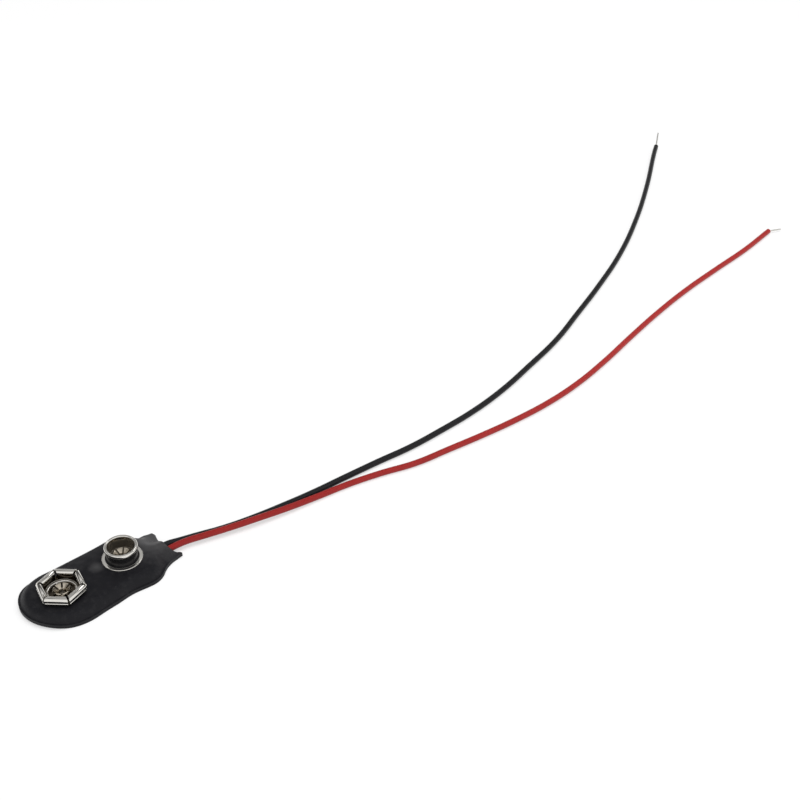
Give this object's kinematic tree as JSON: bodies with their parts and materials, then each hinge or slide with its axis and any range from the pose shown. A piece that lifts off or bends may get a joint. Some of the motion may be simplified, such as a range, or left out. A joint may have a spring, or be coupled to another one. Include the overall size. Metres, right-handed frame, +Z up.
{
  "type": "battery snap connector",
  "caption": "Soft snap connector for a nine volt block battery: a six-petal socket and a round stud riveted between black vinyl sheets, with a red and a black lead.",
  "frame": {"origin": "under the middle of the vinyl cover, on the surface that it lies on", "axes": "+X along the cover from the socket to the stud and the leads, +Z up out of the terminals"},
  "size_m": [0.2356, 0.072, 0.0056],
  "materials": {
    "vinyl": "soft vinyl with a fine leather grain",
    "fibre_board": "pressed fibre",
    "nickel": "bright nickel plate",
    "solder": "smooth solder",
    "red_insulation": "satin insulation",
    "black_insulation": "satin insulation",
    "tinned_copper": "tinned strands"
  },
  "bodies": {
    "root": {"top_cover": "vinyl", "bottom_cover": "vinyl", "insulating_board": "fibre_board", "positive_socket": "nickel", "negative_stud": "nickel", "socket_rivet": "nickel", "stud_rivet": "nickel", "socket_solder": "solder", "stud_solder": "solder", "red_lead": "red_insulation", "black_lead": "black_insulation", "red_conductor": "tinned_copper", "black_conductor": "tinned_copper"}
  },
  "joints": []
}
